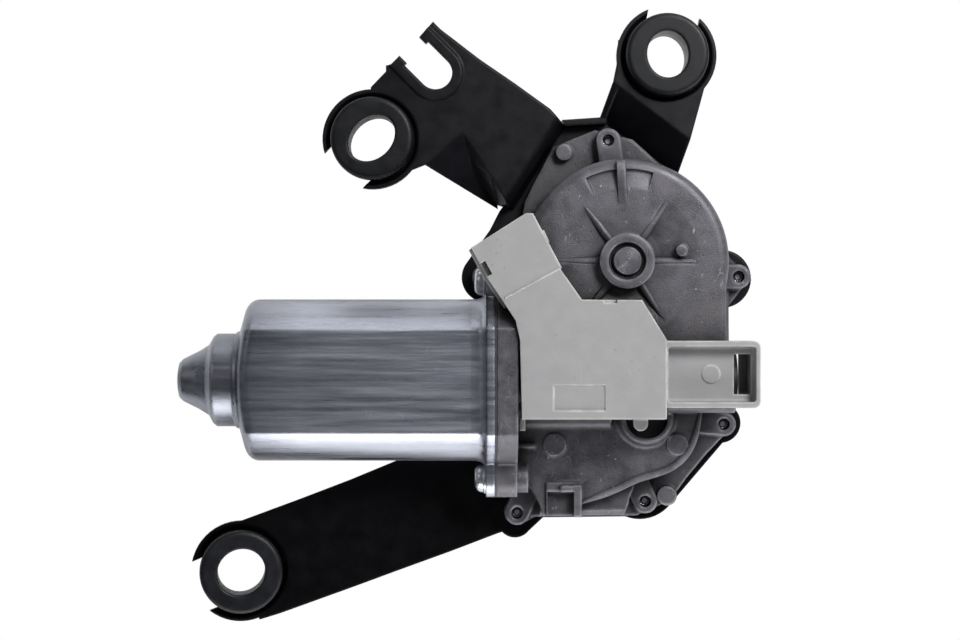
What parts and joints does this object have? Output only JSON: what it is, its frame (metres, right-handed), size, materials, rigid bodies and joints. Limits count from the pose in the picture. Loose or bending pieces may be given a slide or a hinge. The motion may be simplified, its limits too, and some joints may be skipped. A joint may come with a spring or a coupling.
{
  "type": "rear wiper motor",
  "caption": "Rear wiper motor: drawn motor can, cast gear housing with worm drive, swinging output shaft, slanted plug socket and black bracket with rubber mounted arms.",
  "frame": {"origin": "output shaft axis on the outer face of the bracket plate, where the spindle tube leaves it", "axes": "-Z along the spindle tube towards the wiper arm, +X along the motor axis from the can towards the tongue of the connector, +Y from the output shaft towards the worm wheel"},
  "size_m": [0.1808, 0.1938, 0.091],
  "materials": {
    "can_zinc": "zinc plated, drawn",
    "bracket_black": "satin black coat",
    "cast_alu": "die cast, tumbled",
    "plastic_cream": "natural moulded",
    "rubber_black": "matt",
    "steel_plain": "ground",
    "steel_zinc": "zinc plated",
    "steel_dark": "phosphate",
    "magnet": "ferrite",
    "copper": "enamelled copper",
    "brass": "plain",
    "bronze": "sintered",
    "carbon": "pressed carbon",
    "plastic_dark": "moulded",
    "plastic_white": "moulded acetal",
    "gasket": "pressed sheet"
  },
  "bodies": {
    "housing": {"gear_housing": "cast_alu", "motor_can": "can_zinc", "field_magnets": "magnet", "magnet_clips": "steel_zinc", "rear_bearing": "bronze", "thrust_disc": "plastic_dark", "brush_plate": "plastic_dark", "carbon_brushes": "carbon", "brush_springs": "steel_plain", "suppression_chokes": "magnet", "can_screws": "steel_zinc", "drive_end_bearing": "bronze", "worm_end_bearing": "bronze", "thrust_button": "steel_plain", "wheel_axle": "steel_plain", "park_fingers": "brass", "spindle_tube": "cast_alu", "shaft_bushes": "bronze", "spindle_seal": "rubber_black", "thrust_washer": "plastic_white", "mounting_bracket": "bracket_black", "rubber_mount_ul": "rubber_black", "rubber_mount_ur": "rubber_black", "rubber_mount_ll": "rubber_black", "housing_gasket": "gasket", "cover_screws": "steel_zinc", "connector_base": "plastic_cream", "connector_cover": "plastic_cream", "connector_terminals": "brass"},
    "armature": {"armature_shaft": "steel_plain", "armature_core": "steel_dark", "armature_windings": "copper", "commutator": "copper"},
    "wheel": {"worm_wheel": "plastic_white", "crank_pin": "steel_plain", "park_disc": "brass"},
    "output": {"output_shaft": "steel_plain", "output_pinion": "steel_dark", "shaft_ring": "steel_dark"},
    "rocker": {"rocker_plate": "steel_dark", "rocker_pin": "steel_plain"},
    "link": {"toothed_link": "steel_dark"}
  },
  "joints": [
    {"name": "worm_wheel_turn", "type": "hinge", "parent": "housing", "child": "wheel", "pos_m": [-0.0069, 0.0483, 0.0235], "axis": [0, 0, 1], "continuous": true},
    {"name": "armature_spin", "type": "hinge", "parent": "housing", "child": "armature", "pos_m": [-0.05, 0.0117, 0.0235], "axis": [1, 0, 0], "continuous": true},
    {"name": "output_swing", "type": "hinge", "parent": "housing", "child": "output", "pos_m": [0, 0, 0], "axis": [0, 0, 1], "range_deg": [-59.5, 59.5]},
    {"name": "rocker_swing", "type": "hinge", "parent": "housing", "child": "rocker", "pos_m": [0, 0, 0.0053], "axis": [0, 0, 1], "range_deg": [-27.2, 27.2]},
    {"name": "link_swing", "type": "hinge", "parent": "rocker", "child": "link", "pos_m": [-0.0238, -0.00308, 0.0097], "axis": [0, 0, 1], "range_deg": [-22.5, 22.5]}
  ],
  "couplings": [
    {"joint": "armature_spin", "follows": "worm_wheel_turn", "ratio": -52},
    {"joint": "rocker_swing", "follows": "output_swing", "ratio": 0.45379},
    {"joint": "link_swing", "follows": "output_swing", "ratio": -0.37372}
  ]
}
